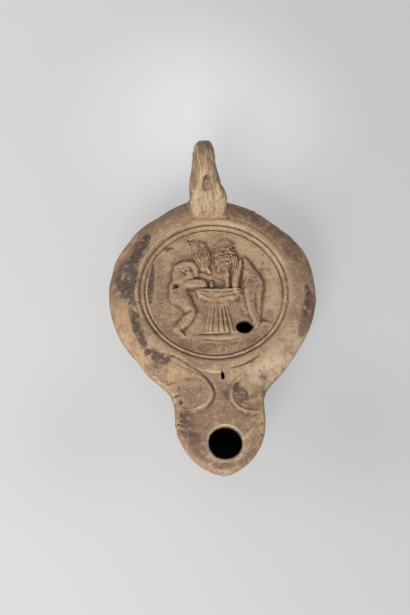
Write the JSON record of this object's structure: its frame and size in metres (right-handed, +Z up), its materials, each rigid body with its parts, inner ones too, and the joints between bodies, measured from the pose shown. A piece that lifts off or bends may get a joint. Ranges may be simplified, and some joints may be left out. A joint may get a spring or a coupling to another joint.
{
  "type": "oil lamp",
  "caption": "Ancient mould-made clay oil lamp with a sunk relief disc, a wick nozzle between volutes and a pierced ring handle.",
  "frame": {"origin": "middle of the flat base, on the surface that the lamp stands on", "axes": "+Z up, the wick nozzle points along -Y and the ring handle stands at +Y, +X is the right of the relief"},
  "size_m": [0.08, 0.1314, 0.0448],
  "materials": {
    "fired_clay": "matt, worn, with soot and stains"
  },
  "bodies": {
    "root": {"lamp": "fired_clay"}
  },
  "joints": []
}
